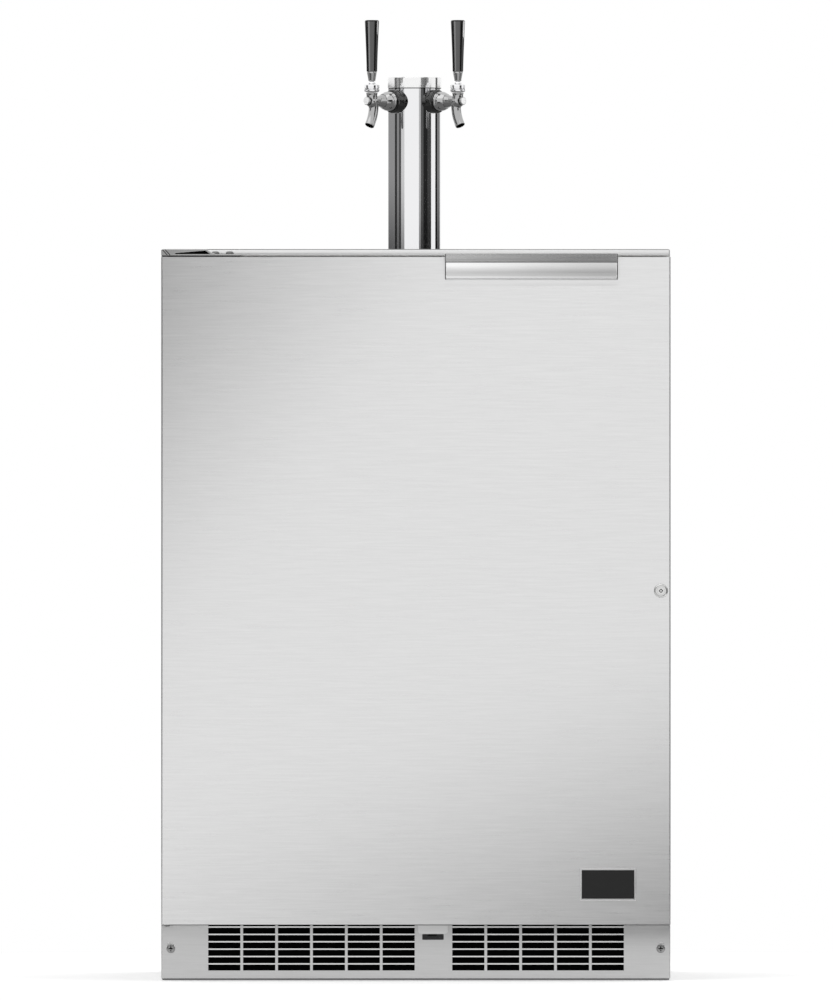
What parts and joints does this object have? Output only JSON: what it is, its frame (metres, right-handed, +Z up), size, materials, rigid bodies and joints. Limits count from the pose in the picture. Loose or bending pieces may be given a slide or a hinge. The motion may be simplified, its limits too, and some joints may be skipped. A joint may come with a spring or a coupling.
{
  "type": "draft beer dispenser",
  "caption": "Under-counter refrigerated beer dispenser: brushed steel cabinet with a hinged door, vented base grille and a tap tower on top.",
  "frame": {"origin": "on the floor under the middle of the whole outline, handle included", "axes": "+Z up, the door faces -Y, +X to the right seen from the front"},
  "size_m": [0.606, 0.63, 1.1482],
  "materials": {
    "brushed_steel": "satin",
    "polished_steel": "polished",
    "galvanised_steel": "satin",
    "dark_steel": "satin",
    "zinc_screws": "satin",
    "black_paint": "satin",
    "fin_aluminium": "satin",
    "copper_tube": "satin",
    "liner_plastic": "satin",
    "black_plastic": "matte",
    "display_dark": "gloss",
    "nylon": "satin",
    "rubber": "matte",
    "grip_black": "gloss",
    "badge_dark": "satin",
    "foam": "matte"
  },
  "bodies": {
    "cabinet": {"back_panel": "galvanised_steel", "base_pan": "galvanised_steel", "bonnets": "polished_steel", "breaker_frame": "liner_plastic", "cabinet_wrap": "brushed_steel", "compressor": "black_paint", "compressor_mounts": "rubber", "condenser": "black_paint", "condenser_shroud": "black_plastic", "control_module": "black_plastic", "control_tab": "brushed_steel", "coupling_nuts": "polished_steel", "deck_plate": "galvanised_steel", "discharge_pipe": "copper_tube", "display_lens": "display_dark", "drain_pan": "black_plastic", "evaporator_coil": "fin_aluminium", "evaporator_cover": "liner_plastic", "faucets": "polished_steel", "foam_body": "foam", "front_frame": "brushed_steel", "hinge_screws": "zinc_screws", "hinge_shim": "black_plastic", "keg_plate": "brushed_steel", "kick_brackets": "galvanised_steel", "kick_plate": "brushed_steel", "kick_screws": "dark_steel", "levelling_feet": "dark_steel", "line_grommet": "black_plastic", "liner": "liner_plastic", "lower_hinge": "dark_steel", "mains_gland": "black_plastic", "shanks": "polished_steel", "strike_box": "galvanised_steel", "tap_flanges": "polished_steel", "tower_cap": "polished_steel", "tower_column": "polished_steel", "tower_ring": "galvanised_steel", "tower_screws": "zinc_screws", "tower_seal": "rubber", "upper_hinge": "polished_steel"},
    "door": {"door_skin": "brushed_steel", "door_foam": "foam", "door_liner": "liner_plastic", "door_gasket": "rubber", "pull_handle": "brushed_steel", "badge_plate": "badge_dark", "hinge_bushes": "nylon", "lock_barrel": "polished_steel"},
    "lock": {"lock_plug": "polished_steel"},
    "tap_left": {"lever_left": "polished_steel", "ferrule_left": "polished_steel", "grip_left": "grip_black"},
    "tap_right": {"lever_right": "polished_steel", "ferrule_right": "polished_steel", "grip_right": "grip_black"},
    "condenser_fan": {"condenser_fan": "black_plastic"},
    "evaporator_fan": {"evaporator_fan": "black_plastic"},
    "button": {"power_button": "black_plastic"}
  },
  "joints": [
    {"name": "door_hinge", "type": "hinge", "parent": "cabinet", "child": "door", "pos_m": [-0.2962, -0.279, 0.464], "axis": [0, 0, -1], "range_deg": [0, 110]},
    {"name": "lock_turn", "type": "hinge", "parent": "door", "child": "lock", "pos_m": [0.2915, -0.295, 0.464], "axis": [0, -1, 0], "range_deg": [0, 90]},
    {"name": "tap_left_pull", "type": "hinge", "parent": "cabinet", "child": "tap_left", "pos_m": [-0.05162, -0.01362, 1.0715], "axis": [0.7071, -0.7071, 0], "range_deg": [0, 30]},
    {"name": "tap_right_pull", "type": "hinge", "parent": "cabinet", "child": "tap_right", "pos_m": [0.05162, -0.01362, 1.0715], "axis": [0.7071, 0.7071, 0], "range_deg": [0, 30]},
    {"name": "condenser_fan_spin", "type": "hinge", "parent": "cabinet", "child": "condenser_fan", "pos_m": [-0.138, -0.16, 0.072], "axis": [0, 1, 0], "continuous": true},
    {"name": "evaporator_fan_spin", "type": "hinge", "parent": "cabinet", "child": "evaporator_fan", "pos_m": [0, 0.23, 0.693], "axis": [0, 1, 0], "continuous": true},
    {"name": "button_press", "type": "slide", "parent": "cabinet", "child": "button", "axis": [0, 1, 0], "range_m": [0, 0.001], "stiffness_N_per_m": 400}
  ]
}
